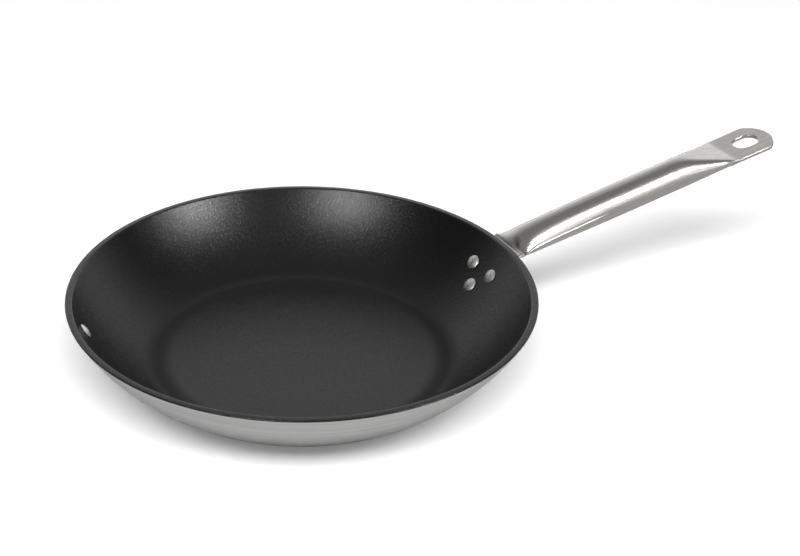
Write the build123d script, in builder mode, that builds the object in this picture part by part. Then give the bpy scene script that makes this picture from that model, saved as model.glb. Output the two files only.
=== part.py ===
from build123d import *
import os
from math import asin, atan2, cos, degrees, hypot, pi, radians, sin, sqrt

os.makedirs("parts", exist_ok=True)

# Omelette pan. Origin at the centre of the base underside, +Z up, handle along +X.

# Pan, one pressed sheet: flat base, bowed wall, rim cut flat
rim_radius = 140.0
pan_height = 49.0
base_radius = 92.0
wall_bow = 4.75
sheet = 3.5
lining = 0.3
floor_blend = 6.0
rim_round = 0.9

# Rivets, all square to the wall; depths are measured on the inside, down from the rim
upper_rivet_depth = 15.9
lower_rivet_depth = 25.3
upper_rivet_pitch = 20.7
far_rivet_depth = 10.1
far_rivet_azimuth = 170.1
shank_radius = 3.0
shank_clearance = 0.05
inner_head_radius = 4.5
inner_head_rise = 1.6
outer_head_radius = 4.75
outer_head_rise = 2.2
head_edge = 0.5

# Handle, one tube: straight axis, both ends pressed flat
handle_slope = 11.95
axis_drop = 4.65
tube_radius = 10.4
tube_wall = 1.2
bend_radius = 11.0
plate_tail = 8.5
plate_corner = 13.0
seat_bite = 0.05
pan_end_length = 84.0
fold_edge = 0.15
tab_reach = 304.2
ramp_length = 42.0
facet_start = 0.1

# Hanging tab, in line with the tube
tab_length = 35.8
tab_side_length = 26.0
tab_half_width = 15.6
tab_tip_half_width = 16.0
tab_corner = 3.0
slot_length = 17.8
slot_width = 13.4
slot_offset = 18.3
seam_gap = 0.2
seam_depth = 0.35

overrun = 5.0

# Pan end of the tube: how far along it, how high, how far the two halves' centres
# cross, and how much of the side is still a flat edge instead of a sharp fold
pan_end_shares = [
    (0.048, 0.500, 0.155, 0.26),
    (0.095, 0.710, 0.230, 0.03),
    (0.155, 0.845, 0.264, 0.0),
    (0.226, 0.905, 0.269, 0.0),
    (0.333, 0.942, 0.250, 0.0),
    (0.476, 0.971, 0.183, 0.0),
    (0.643, 0.990, 0.077, 0.0),
    (0.810, 1.0, 0.0, 0.0),
    (0.905, 1.0, 0.0, 0.0),
    (1.0, 1.0, 0.0, 0.0),
]

# Ramp to the tab: how far along it and how high; past its first third it is straight
ramp_shares = [
    (0.0, 1.0),
    (0.100, 0.985),
    (0.200, 0.945),
    (0.300, 0.870),
    (0.400, 0.762),
    (0.500, 0.654),
    (0.625, 0.519),
    (0.750, 0.385),
    (0.875, 0.250),
]
girth_share_power = 2.5

# The wall is one arc, bowed outward between the base corner and the rim
chord_run = rim_radius - base_radius
chord = hypot(chord_run, pan_height)
wall_arc = (chord**2 / 4 + wall_bow**2) / (2 * wall_bow)
arc_offset = wall_arc - wall_bow
arc_x = (rim_radius + base_radius) / 2 - arc_offset * pan_height / chord
arc_z = pan_height / 2 + arc_offset * chord_run / chord
arc_centre = Vector(arc_x, 0, arc_z)
pan_wall = sheet + lining
metal_top = pan_height - lining


def wall_point(depth, height):
    """Point of the wall face that lies a depth inside the outer one, at a height."""
    radius = arc_x + sqrt((wall_arc - depth) ** 2 - (height - arc_z) ** 2)
    return (radius, height)


def wall_curve(depth, low, high):
    """The wall face at a depth, as one arc between two heights."""
    return ThreePointArc(
        wall_point(depth, low),
        wall_point(depth, (low + high) / 2),
        wall_point(depth, high),
    )


def corner(sketch, point):
    """The sketch's vertex at a point."""
    return sketch.vertices().sort_by_distance(point)[0]


def rivet_plane(azimuth, depth):
    """Plane on the outer wall, square to the rivet: x along the rim, z outward."""
    inside = wall_point(pan_wall, pan_height - depth)
    outward = (Vector(inside[0], 0, inside[1]) - arc_centre).normalized()
    foot = arc_centre + outward * wall_arc
    return Plane(
        origin=foot.rotate(Axis.Z, azimuth),
        x_dir=Vector(0, 1, 0).rotate(Axis.Z, azimuth),
        z_dir=outward.rotate(Axis.Z, azimuth),
    )


upper_radius = wall_point(pan_wall, pan_height - upper_rivet_depth)[0]
upper_azimuth = degrees(asin(upper_rivet_pitch / 2 / upper_radius))
handle_rivets = [
    rivet_plane(upper_azimuth, upper_rivet_depth),
    rivet_plane(-upper_azimuth, upper_rivet_depth),
    rivet_plane(0, lower_rivet_depth),
]
far_rivet = rivet_plane(far_rivet_azimuth, far_rivet_depth)
plate = 2 * tube_wall
hole_radius = shank_radius + shank_clearance
hole_reach = pan_wall + plate + overrun

with BuildPart() as pan_body:
    with BuildSketch(Plane.XZ) as body_profile:
        with BuildLine():
            Line((0, 0), (base_radius, 0))
            wall_curve(0, 0, metal_top)
            Line(wall_point(0, metal_top), wall_point(sheet, metal_top))
            wall_curve(sheet, metal_top, sheet)
            Line(wall_point(sheet, sheet), (0, sheet))
            Line((0, sheet), (0, 0))
        make_face()
        fillet(corner(body_profile, (base_radius, 0)), floor_blend + pan_wall)
        fillet(corner(body_profile, wall_point(sheet, sheet)), floor_blend + lining)
        fillet(corner(body_profile, wall_point(sheet, metal_top)), rim_round)
    revolve(axis=Axis.Z)
    with BuildSketch(*handle_rivets, far_rivet):
        Circle(hole_radius)
    extrude(amount=hole_reach, both=True, mode=Mode.SUBTRACT)
pan_body.part.label = "pan_body"

with BuildPart() as nonstick_lining:
    with BuildSketch(Plane.XZ) as lining_profile:
        with BuildLine():
            Line((0, sheet), wall_point(sheet, sheet))
            wall_curve(sheet, sheet, metal_top)
            Line(wall_point(sheet, metal_top), wall_point(0, metal_top))
            wall_curve(0, metal_top, pan_height)
            Line(wall_point(0, pan_height), wall_point(pan_wall, pan_height))
            wall_curve(pan_wall, pan_height, pan_wall)
            Line(wall_point(pan_wall, pan_wall), (0, pan_wall))
            Line((0, pan_wall), (0, sheet))
        make_face()
        fillet(corner(lining_profile, wall_point(sheet, sheet)), floor_blend + lining)
        fillet(corner(lining_profile, wall_point(pan_wall, pan_wall)), floor_blend)
        fillet(corner(lining_profile, wall_point(sheet, metal_top)), rim_round)
        fillet(corner(lining_profile, wall_point(pan_wall, pan_height)), rim_round + lining)
    revolve(axis=Axis.Z)
    with BuildSketch(*handle_rivets, far_rivet):
        Circle(hole_radius)
    extrude(amount=hole_reach, both=True, mode=Mode.SUBTRACT)
nonstick_lining.part.label = "nonstick_lining"


def rivet_profile(plane, held):
    """Half section of a rivet through the pan wall and a held thickness outside it."""
    half_plane = Plane(origin=plane.origin, x_dir=plane.x_dir, z_dir=-plane.y_dir)
    inner = -pan_wall
    inner_edge = (inner_head_radius, inner - head_edge)
    outer_edge = (outer_head_radius, held + head_edge)
    inner_top = (0, inner - inner_head_rise)
    outer_top = (0, held + outer_head_rise)
    with BuildSketch(half_plane) as profile:
        with BuildLine():
            TangentArc(inner_top, inner_edge, tangent=(1, 0))
            Polyline(
                inner_edge,
                (inner_head_radius, inner),
                (shank_radius, inner),
                (shank_radius, held),
                (outer_head_radius, held),
                outer_edge,
            )
            TangentArc(outer_top, outer_edge, tangent=(1, 0))
            Line(outer_top, inner_top)
        make_face()
    return profile.sketch


# Line of the handle, in the plane of symmetry: straight axis, bend, wall
along = Vector(cos(radians(handle_slope)), 0, sin(radians(handle_slope)))
upward = Vector(-sin(radians(handle_slope)), 0, cos(radians(handle_slope)))
axis_foot = Vector(rim_radius, 0, pan_height - axis_drop)
plate_arc = wall_arc + tube_wall
bend_foot = axis_foot - upward * bend_radius - arc_centre
bend_run = -bend_foot.dot(along) + sqrt(
    bend_foot.dot(along) ** 2 - bend_foot.dot(bend_foot) + (plate_arc + bend_radius) ** 2
)
bend_centre = arc_centre + bend_foot + along * bend_run
bend_start = bend_centre + upward * bend_radius
tab_foot = axis_foot + along * ((tab_reach - rim_radius) / along.X)
ramp_foot = tab_foot - along * ramp_length


def tilt(direction):
    """Angle of a direction in the plane of symmetry, above +X."""
    return degrees(atan2(direction.Z, direction.X))


wall_normal = (bend_centre - arc_centre).normalized()
seam_angle = tilt(wall_normal)
bend_angle = tilt(-wall_normal) - tilt(upward)
plate_angle = seam_angle - tilt(handle_rivets[2].z_dir) + degrees(plate_tail / plate_arc)


def cross_plane(origin, top):
    """Plane square to the handle's line: x across, y towards the top side."""
    return Plane(origin=origin, x_dir=(0, 1, 0), z_dir=Vector(0, 1, 0).cross(top))


flat_half_width = (pi * (tube_radius - tube_wall / 2) + tube_wall) / 2


def half_width(rise):
    """Half width of the pressed tube that keeps its girth at a half height."""
    pressed = (rise / tube_radius) ** girth_share_power
    return flat_half_width - (flat_half_width - tube_radius) * pressed


across_arc = plate_arc + arc_x / cos(radians(seam_angle))
plate_lift = across_arc - sqrt(across_arc**2 - flat_half_width**2)


def strap_section(plane):
    """Tube pressed flat, bowed across like the wall, its top proud by the seat's bite."""
    wide = half_width(tube_wall)
    top = plate_lift + tube_wall
    low = plate_lift - tube_wall
    with BuildSketch(plane) as section:
        with BuildLine():
            ThreePointArc((wide, top + seat_bite), (0, tube_wall + seat_bite), (-wide, top + seat_bite))
            Line((-wide, top + seat_bite), (-wide, low))
            ThreePointArc((-wide, low), (0, -tube_wall), (wide, low))
            Line((wide, low), (wide, top + seat_bite))
        make_face()
    return section.sketch


def oval_section(plane, rise, drop, edge, inset):
    """Two bowed halves whose centres cross by a drop, so they meet in a fold."""
    high = rise - inset + drop
    wide = half_width(rise) - inset
    start = asin((edge + drop) / high)
    sweep = 180 - 2 * degrees(start)
    reach = wide / cos(start)
    with BuildSketch(plane) as section:
        with BuildLine():
            top = EllipticalCenterArc((0, -drop), reach, high, degrees(start), arc_size=sweep)
            low = EllipticalCenterArc((0, drop), reach, high, 180 + degrees(start), arc_size=sweep)
            Line(top @ 1, low @ 0)
            Line(low @ 1, top @ 0)
        make_face()
    return section.sketch


def round_section(plane, radius, half_arc):
    """Circle in four arcs, two short ones at the plane's x axis and two long ones."""
    arcs = []
    for turn in (0, 180):
        arcs.append(Edge.make_circle(radius, plane, turn - half_arc, turn + half_arc))
        arcs.append(Edge.make_circle(radius, plane, turn + half_arc, turn + 180 - half_arc))
    return Face(Wire(arcs))


def pan_end_section(share, height_share, drop_share, edge_share, inset):
    """Cross-section of the tube's pan end at a share of its length."""
    plane = cross_plane(bend_start + along * (share * pan_end_length), upward)
    if height_share == 1:
        return round_section(plane, tube_radius - inset, degrees(fold_edge / tube_radius))
    edge = fold_edge + (tube_wall - fold_edge) * edge_share
    return oval_section(
        plane, height_share * tube_radius, drop_share * tube_radius, edge, inset
    )


def ramp_section(share, height_share, inset):
    """Cross-section of the ramp: flat facets above and below, round sides."""
    plane = cross_plane(ramp_foot + along * (share * ramp_length), upward)
    if height_share == 1:
        quarter = Plane(origin=plane.origin, x_dir=-plane.y_dir, z_dir=plane.z_dir)
        return round_section(quarter, tube_radius - inset, degrees(facet_start / tube_radius))
    rise = height_share * tube_radius
    pressed = (tube_radius - rise) / (tube_radius - tube_wall)
    facet = facet_start + (tab_half_width - tube_wall - facet_start) * pressed
    radius = rise - inset
    with BuildSketch(plane) as section:
        with BuildLine():
            CenterArc((facet, 0), radius, -90, 180)
            Line((facet, radius), (-facet, radius))
            CenterArc((-facet, 0), radius, 90, 180)
            Line((-facet, -radius), (facet, -radius))
        make_face()
    return section.sketch


seam_strap = strap_section(cross_plane(arc_centre + wall_normal * plate_arc, -wall_normal))
bend_strap = strap_section(cross_plane(bend_start, upward))
tube_start = bend_start + along * pan_end_length
tube_run = (ramp_foot - tube_start).length
tube_plane = cross_plane(tube_start, upward)
tab_plane = Plane(origin=tab_foot, x_dir=along, z_dir=upward)
ramp_end_share = tube_wall / tube_radius


def tab_outline(inset):
    """Outline of the tab and its slot, drawn in by an inset at every cut edge."""
    tip = tab_length - inset
    near = tab_half_width - inset
    far = tab_tip_half_width - inset
    with BuildSketch(tab_plane) as outline:
        with BuildLine():
            Polyline((tab_side_length, far), (0, near), (0, -near), (tab_side_length, -far))
            ThreePointArc((tab_side_length, far), (tip, 0), (tab_side_length, -far))
        make_face()
        fillet(corner(outline, (tab_side_length, far)), tab_corner - inset)
        fillet(corner(outline, (tab_side_length, -far)), tab_corner - inset)
        with Locations((slot_offset, 0)):
            SlotOverall(slot_length + 2 * inset, slot_width + 2 * inset, mode=Mode.SUBTRACT)
    return outline.sketch


with BuildPart() as handle:
    revolve(seam_strap, axis=Axis(arc_centre, (0, 1, 0)), revolution_arc=plate_angle)
    revolve(seam_strap, axis=Axis(bend_centre, (0, 1, 0)), revolution_arc=bend_angle)
    add(pan_body.part, mode=Mode.SUBTRACT)
    with BuildSketch(handle_rivets[2]):
        with Locations((0, -plate_tail - overrun)):
            Rectangle(
                2 * (flat_half_width + overrun),
                plate_corner + overrun,
                align=(Align.CENTER, Align.MIN),
            )
        with Locations((0, -plate_tail)):
            RectangleRounded(
                2 * flat_half_width,
                2 * (plate_corner + overrun),
                plate_corner,
                align=(Align.CENTER, Align.MIN),
                mode=Mode.SUBTRACT,
            )
    extrude(amount=hole_reach, both=True, mode=Mode.SUBTRACT)
    with BuildSketch(*handle_rivets):
        Circle(hole_radius)
    extrude(amount=hole_reach, both=True, mode=Mode.SUBTRACT)
    loft(sections=[bend_strap] + [pan_end_section(*row, 0) for row in pan_end_shares])
    with BuildSketch(tube_plane):
        Circle(tube_radius)
    extrude(amount=tube_run)
    loft(sections=[ramp_section(*row, 0) for row in ramp_shares + [(1.0, ramp_end_share)]])
    extrude(tab_outline(0), amount=tube_wall, both=True)
    with BuildPart(mode=Mode.PRIVATE) as seam:
        extrude(tab_outline(0), amount=seam_gap / 2, both=True)
        extrude(tab_outline(seam_depth), amount=seam_gap / 2, both=True, mode=Mode.SUBTRACT)
    add(seam.part, mode=Mode.SUBTRACT)
    with BuildPart(mode=Mode.PRIVATE) as cavity:
        loft(sections=[pan_end_section(*row, tube_wall) for row in pan_end_shares])
        with BuildSketch(tube_plane):
            Circle(tube_radius - tube_wall)
        extrude(amount=tube_run)
        loft(sections=[ramp_section(*row, tube_wall) for row in ramp_shares])
    add(cavity.part, mode=Mode.SUBTRACT)
handle.part.label = "handle"

with BuildPart() as handle_rivet_left:
    add(rivet_profile(handle_rivets[0], plate))
    revolve(axis=Axis(handle_rivets[0].origin, handle_rivets[0].z_dir))
    add(nonstick_lining.part, mode=Mode.SUBTRACT)
handle_rivet_left.part.label = "handle_rivet_left"

with BuildPart() as handle_rivet_right:
    add(rivet_profile(handle_rivets[1], plate))
    revolve(axis=Axis(handle_rivets[1].origin, handle_rivets[1].z_dir))
    add(nonstick_lining.part, mode=Mode.SUBTRACT)
handle_rivet_right.part.label = "handle_rivet_right"

with BuildPart() as handle_rivet_lower:
    add(rivet_profile(handle_rivets[2], plate))
    revolve(axis=Axis(handle_rivets[2].origin, handle_rivets[2].z_dir))
    add(nonstick_lining.part, mode=Mode.SUBTRACT)
handle_rivet_lower.part.label = "handle_rivet_lower"

with BuildPart() as far_wall_rivet:
    add(rivet_profile(far_rivet, 0))
    revolve(axis=Axis(far_rivet.origin, far_rivet.z_dir))
    add(nonstick_lining.part, mode=Mode.SUBTRACT)
far_wall_rivet.part.label = "far_wall_rivet"

export_step(pan_body.part, "parts/pan_body.step")
export_step(nonstick_lining.part, "parts/nonstick_lining.step")
export_step(handle.part, "parts/handle.step")
export_step(handle_rivet_left.part, "parts/handle_rivet_left.step")
export_step(handle_rivet_right.part, "parts/handle_rivet_right.step")
export_step(handle_rivet_lower.part, "parts/handle_rivet_lower.step")
export_step(far_wall_rivet.part, "parts/far_wall_rivet.step")
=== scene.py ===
"""Omelette pan: fine meshes, finishes, studio and camera around the CAD frame.

The pan is one pressed sheet with a bonded non-stick lining. Its handle is one steel tube
pressed flat at both ends, and four rivets go through the wall. Every size is in metres.
"""

from __future__ import annotations

import logging
from bisect import bisect_left
from dataclasses import dataclass, field
from enum import Enum
from math import asin, atan2, cos, hypot, pi, radians, sin, sqrt, tau
from typing import Sequence

import bmesh
import bpy
from mathutils import Matrix, Vector, noise


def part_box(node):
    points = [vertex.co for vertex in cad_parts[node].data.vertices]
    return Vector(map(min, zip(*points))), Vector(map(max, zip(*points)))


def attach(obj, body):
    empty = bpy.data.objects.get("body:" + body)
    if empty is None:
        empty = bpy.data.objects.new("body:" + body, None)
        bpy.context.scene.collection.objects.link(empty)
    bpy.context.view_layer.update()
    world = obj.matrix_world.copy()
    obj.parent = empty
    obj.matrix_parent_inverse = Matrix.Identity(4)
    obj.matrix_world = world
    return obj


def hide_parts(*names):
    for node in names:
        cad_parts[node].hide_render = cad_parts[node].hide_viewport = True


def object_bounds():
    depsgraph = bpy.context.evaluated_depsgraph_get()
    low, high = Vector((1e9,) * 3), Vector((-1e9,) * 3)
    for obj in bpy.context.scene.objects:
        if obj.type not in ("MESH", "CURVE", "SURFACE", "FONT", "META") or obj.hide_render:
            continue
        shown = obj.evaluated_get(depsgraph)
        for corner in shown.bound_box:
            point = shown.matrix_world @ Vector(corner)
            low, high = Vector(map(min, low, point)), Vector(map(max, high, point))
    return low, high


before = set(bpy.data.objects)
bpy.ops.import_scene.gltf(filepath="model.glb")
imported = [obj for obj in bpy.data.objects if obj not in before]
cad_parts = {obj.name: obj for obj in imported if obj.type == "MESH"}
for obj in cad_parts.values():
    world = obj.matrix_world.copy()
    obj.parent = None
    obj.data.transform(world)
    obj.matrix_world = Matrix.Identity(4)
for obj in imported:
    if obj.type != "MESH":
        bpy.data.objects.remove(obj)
CAD_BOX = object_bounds()

log = logging.getLogger("omelette_pan")

BODY = "root"
FOLD_ANGLE = radians(42)
PHOTO_WIDTH = 800
MERGE_DISTANCE = 1e-7
SLIVER = 1e-8
TINY = 1e-9

GROUP_OUTPUT_PLACE = (1800, 0)
SHADER_PLACE = (2100, 0)
OUTPUT_PLACE = (2400, 0)

Pair = tuple[float, float]
Colour = tuple[float, float, float]


class Slot(Enum):
    """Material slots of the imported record."""

    PAN_METAL = "pan_metal"
    LINING = "lining"
    HANDLE_STEEL = "handle_steel"
    RIVET_METAL = "rivet_metal"


class Grain(Enum):
    """How the fine lines of a brushed metal run over a piece."""

    ALONG_HANDLE = "along_handle"
    TURNED = "turned"


def arc_points(centre: Pair, radius: float, start: float, end: float, steps: int) -> list[Pair]:
    """Points of an arc, both ends included.

    Args:
        centre: Middle of the arc.
        radius: Its radius.
        start: First angle, in radians.
        end: Last angle, in radians.
        steps: Number of equal steps between them.

    Returns:
        The points in order.
    """
    return [
        (
            centre[0] + radius * cos(start + (end - start) * i / steps),
            centre[1] + radius * sin(start + (end - start) * i / steps),
        )
        for i in range(steps + 1)
    ]


def smooth_step(value: float) -> float:
    """A soft ramp from 0 to 1 for a value between 0 and 1."""
    value = min(max(value, 0.0), 1.0)
    return value * value * (3 - 2 * value)


def mix(first: float, second: float, share: float) -> float:
    """The value at a share of the way from the first to the second."""
    return first + (second - first) * share


def spaced(points: Sequence[Pair], lengths: Sequence[float]) -> list[Pair]:
    """Reads an open line at shares of its length.

    Args:
        points: The line, finely divided.
        lengths: Shares of its length, rising from 0 to 1.

    Returns:
        One point for each share.
    """
    run = [0.0]
    for a, b in zip(points, points[1:]):
        run.append(run[-1] + hypot(b[0] - a[0], b[1] - a[1]))
    found = []
    for share in lengths:
        goal = share * run[-1]
        i = min(max(bisect_left(run, goal), 1), len(run) - 1)
        part = (goal - run[i - 1]) / max(run[i] - run[i - 1], TINY)
        a, b = points[i - 1], points[i]
        found.append((mix(a[0], b[0], part), mix(a[1], b[1], part)))
    return found


@dataclass(frozen=True)
class Curve:
    """A smooth line through a few given pairs that never swings past them."""

    pairs: tuple[Pair, ...]

    def slopes(self) -> list[float]:
        """Slope at each pair, zero where the line turns.

        Returns:
            One slope for each pair.
        """
        rise = [(b[1] - a[1]) / (b[0] - a[0]) for a, b in zip(self.pairs, self.pairs[1:])]
        inner = [0.0 if a * b <= 0 else 2 * a * b / (a + b) for a, b in zip(rise, rise[1:])]
        return [rise[0], *inner, rise[-1]]

    def at(self, place: float) -> float:
        """Value of the line at a place, held at its ends.

        Args:
            place: Where to read it.

        Returns:
            The value there.
        """
        places = [p for p, _ in self.pairs]
        if place <= places[0]:
            return self.pairs[0][1]
        if place >= places[-1]:
            return self.pairs[-1][1]
        i = bisect_left(places, place)
        slope = self.slopes()
        (x0, y0), (x1, y1) = self.pairs[i - 1], self.pairs[i]
        span = x1 - x0
        t = (place - x0) / span
        return (
            y0 * (1 + 2 * t) * (1 - t) ** 2
            + slope[i - 1] * span * t * (1 - t) ** 2
            + y1 * t * t * (3 - 2 * t)
            + slope[i] * span * t * t * (t - 1)
        )


@dataclass
class Skin:
    """A mesh grown ring by ring."""

    points: list[Vector] = field(default_factory=list)
    faces: list[tuple[int, ...]] = field(default_factory=list)

    def add(self, points: Sequence[Vector]) -> list[int]:
        """Adds points.

        Args:
            points: Places of the points.

        Returns:
            Their numbers.
        """
        first = len(self.points)
        self.points.extend(points)
        return list(range(first, len(self.points)))

    def bridge(self, first: Sequence[int], second: Sequence[int], closed: bool = True) -> None:
        """Joins two rows of as many points with quads.

        Args:
            first: Numbers of one row.
            second: Numbers of the other row.
            closed: Whether the rows run round and meet themselves.
        """
        count = len(first)
        for i in range(count if closed else count - 1):
            j = (i + 1) % count
            self.faces.append((first[i], first[j], second[j], second[i]))

    def fan(self, ring: Sequence[int], tip: int) -> None:
        """Closes a ring with triangles to one point."""
        for i in range(len(ring)):
            self.faces.append((ring[i], ring[(i + 1) % len(ring)], tip))

    def lathe(self, profile: Sequence[Pair], turns: int, place: Matrix | None = None) -> None:
        """Turns a half section about its axis.

        Args:
            profile: Radius and height of each point, with both ends on the axis.
            turns: Number of steps round the axis.
            place: Where the turned form stands, or None for the shared frame.
        """
        place = place or Matrix.Identity(4)
        before: list[int] = []
        for radius, height in profile:
            if radius < MERGE_DISTANCE:
                row = self.add([place @ Vector((0, 0, height))])
            else:
                row = self.add(
                    [
                        place
                        @ Vector((radius * cos(tau * i / turns), radius * sin(tau * i / turns), height))
                        for i in range(turns)
                    ]
                )
            if len(before) > 1 and len(row) > 1:
                self.bridge(before, row)
            elif len(before) > 1:
                self.fan(before, row[0])
            elif len(row) > 1 and before:
                self.fan(row, before[0])
            before = row

    def piece(self, name: str, material: bpy.types.Material) -> bpy.types.Object:
        """Makes the mesh object, with outward faces and smooth rounds.

        Args:
            name: Name of the piece.
            material: Its finish.

        Returns:
            The object, linked to the scene.
        """
        mesh = bpy.data.meshes.new(name)
        mesh.from_pydata([p[:] for p in self.points], [], self.faces)
        work = bmesh.new()
        work.from_mesh(mesh)
        bmesh.ops.remove_doubles(work, verts=work.verts, dist=MERGE_DISTANCE)
        bmesh.ops.dissolve_degenerate(work, edges=work.edges, dist=SLIVER)
        bmesh.ops.recalc_face_normals(work, faces=work.faces)
        work.to_mesh(mesh)
        work.free()
        mesh.shade_smooth()
        mesh.set_sharp_from_angle(angle=FOLD_ANGLE)
        mesh.materials.append(material)
        obj = bpy.data.objects.new(name, mesh)
        bpy.context.scene.collection.objects.link(obj)
        return obj


def stand_in(obj: bpy.types.Object, node: str, slot: Slot) -> None:
    """Puts a piece on the pan's body in place of its CAD node and reports it.

    Args:
        obj: The fine mesh.
        node: CAD node that it stands for.
        slot: Material slot of the record.
    """
    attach(obj, BODY)
    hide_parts(node)
    low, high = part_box(node)
    size = [round((b - a) * 1000, 1) for a, b in zip(low, high)]
    log.info("%s: %d faces, %s, %s mm", obj.name, len(obj.data.polygons), slot.value, size)


class Nodes:
    """Short ways to write a node tree from left to right."""

    COLUMN_STEP = 190
    ROW_STEP = -230
    ROWS = 5

    def __init__(self, tree: bpy.types.NodeTree) -> None:
        """Keeps the tree that the nodes go into."""
        self.tree = tree
        self.count = 0

    def new(self, kind: str, **settings: object) -> bpy.types.Node:
        """Adds a node.

        Args:
            kind: Blender's name of the node type.
            settings: Attributes to set on it.

        Returns:
            The node.
        """
        node = self.tree.nodes.new(kind)
        node.location = (self.count * self.COLUMN_STEP, (self.count % self.ROWS) * self.ROW_STEP)
        self.count += 1
        for name, value in settings.items():
            setattr(node, name, value)
        return node

    def feed(self, socket: bpy.types.NodeSocket, value: object) -> None:
        """Sets a socket, or links it where the value is another node's socket.

        Args:
            socket: The input.
            value: A plain value, or the output that drives it.
        """
        if isinstance(value, bpy.types.NodeSocket):
            self.tree.links.new(value, socket)
        else:
            socket.default_value = value

    def math(self, operation: str, *values: object) -> bpy.types.NodeSocket:
        """One step of arithmetic on numbers or sockets.

        Args:
            operation: Name of the operation, such as MULTIPLY.
            values: What goes in, in order.

        Returns:
            The socket with the result.
        """
        node = self.new("ShaderNodeMath", operation=operation)
        for socket, value in zip(node.inputs, values):
            self.feed(socket, value)
        return node.outputs[0]

    def combine(self, x: object, y: object, z: object) -> bpy.types.NodeSocket:
        """A vector from three numbers or sockets.

        Args:
            x: First part.
            y: Second part.
            z: Third part.

        Returns:
            The vector socket.
        """
        node = self.new("ShaderNodeCombineXYZ")
        for socket, value in zip(node.inputs, (x, y, z)):
            self.feed(socket, value)
        return node.outputs[0]

    def noise(
        self, vector: object, scale: object, detail: float, roughness: float = 0.5
    ) -> bpy.types.NodeSocket:
        """Smooth noise between 0 and 1.

        Args:
            vector: Where it is read.
            scale: Blotches per metre.
            detail: Finer layers on top of it.
            roughness: Strength of the finer layers.

        Returns:
            The socket with the value.
        """
        node = self.new("ShaderNodeTexNoise", noise_dimensions="3D")
        self.feed(node.inputs["Vector"], vector)
        self.feed(node.inputs["Scale"], scale)
        self.feed(node.inputs["Detail"], detail)
        self.feed(node.inputs["Roughness"], roughness)
        return node.outputs["Fac"]

    def band(
        self, value: object, low: object, high: object, to_low: object, to_high: object
    ) -> bpy.types.NodeSocket:
        """Maps a range of a value onto another, held at its ends.

        Args:
            value: What is mapped.
            low: Start of its range.
            high: End of its range.
            to_low: Result at the start.
            to_high: Result at the end.

        Returns:
            The socket with the result.
        """
        node = self.new("ShaderNodeMapRange", interpolation_type="SMOOTHSTEP")
        for socket, number in zip(node.inputs, (value, low, high, to_low, to_high)):
            self.feed(socket, number)
        return node.outputs[0]

    def blend(self, share: object, first: object, second: object) -> bpy.types.NodeSocket:
        """Mixes two colours.

        Args:
            share: Share of the second colour.
            first: Colour at a share of 0.
            second: Colour at a share of 1.

        Returns:
            The colour socket.
        """
        node = self.new("ShaderNodeMix", data_type="RGBA")
        self.feed(node.inputs[0], share)
        ends = [socket for socket in node.inputs if socket.type == "RGBA"]
        self.feed(ends[0], first)
        self.feed(ends[1], second)
        return next(socket for socket in node.outputs if socket.type == "RGBA")


@dataclass
class EffectGroup:
    """A shader node group that several finishes place with their own values."""

    name: str
    inputs: dict[str, float | None]
    outputs: tuple[str, ...]

    def start(self) -> tuple[Nodes, dict[str, bpy.types.NodeSocket], bpy.types.Node]:
        """Makes the empty group with its sockets.

        Returns:
            The node writer, the group's input sockets by name, and its output node.
        """
        tree = bpy.data.node_groups.new(self.name, "ShaderNodeTree")
        for name, value in self.inputs.items():
            kind = "NodeSocketVector" if value is None else "NodeSocketFloat"
            socket = tree.interface.new_socket(name, in_out="INPUT", socket_type=kind)
            if value is not None:
                socket.default_value = value
        for name in self.outputs:
            tree.interface.new_socket(name, in_out="OUTPUT", socket_type="NodeSocketFloat")
        nodes = Nodes(tree)
        entry = nodes.new("NodeGroupInput")
        leave = nodes.new("NodeGroupOutput")
        leave.location = GROUP_OUTPUT_PLACE
        return nodes, {s.name: s for s in entry.outputs if s.name}, leave


def brushed_lines() -> bpy.types.NodeTree:
    """Fine lines that run along the X of the vector that goes in.

    Returns:
        The group, which puts out Height and Streak.
    """
    wide_share = 0.13
    patches_per_metre = 45.0
    wide_weight = 0.6
    fine_weight = 0.4
    group = EffectGroup(
        "brushed_lines",
        {"Vector": None, "Lines per metre": 4000.0, "Run": 0.03, "Patchiness": 0.5},
        ("Height", "Streak"),
    )
    nodes, given, leave = group.start()
    split = nodes.new("ShaderNodeSeparateXYZ")
    nodes.feed(split.inputs[0], given["Vector"])
    x, y, z = split.outputs
    drawn = nodes.combine(nodes.math("MULTIPLY", x, given["Run"]), y, z)
    fine = nodes.noise(drawn, given["Lines per metre"], detail=3.0, roughness=0.6)
    wide_scale = nodes.math("MULTIPLY", given["Lines per metre"], wide_share)
    wide = nodes.noise(drawn, wide_scale, detail=2.0)
    patch = nodes.noise(given["Vector"], patches_per_metre, detail=1.0)
    patch_strength = nodes.math("MULTIPLY", nodes.math("SUBTRACT", patch, 0.5), given["Patchiness"])
    strength = nodes.math("ADD", patch_strength, 1.0)
    nodes.feed(leave.inputs["Height"], nodes.math("MULTIPLY", fine, strength))
    wide_part = nodes.math("MULTIPLY", wide, wide_weight)
    fine_part = nodes.math("MULTIPLY", fine, fine_weight)
    nodes.feed(leave.inputs["Streak"], nodes.math("ADD", wide_part, fine_part))
    return nodes.tree


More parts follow.
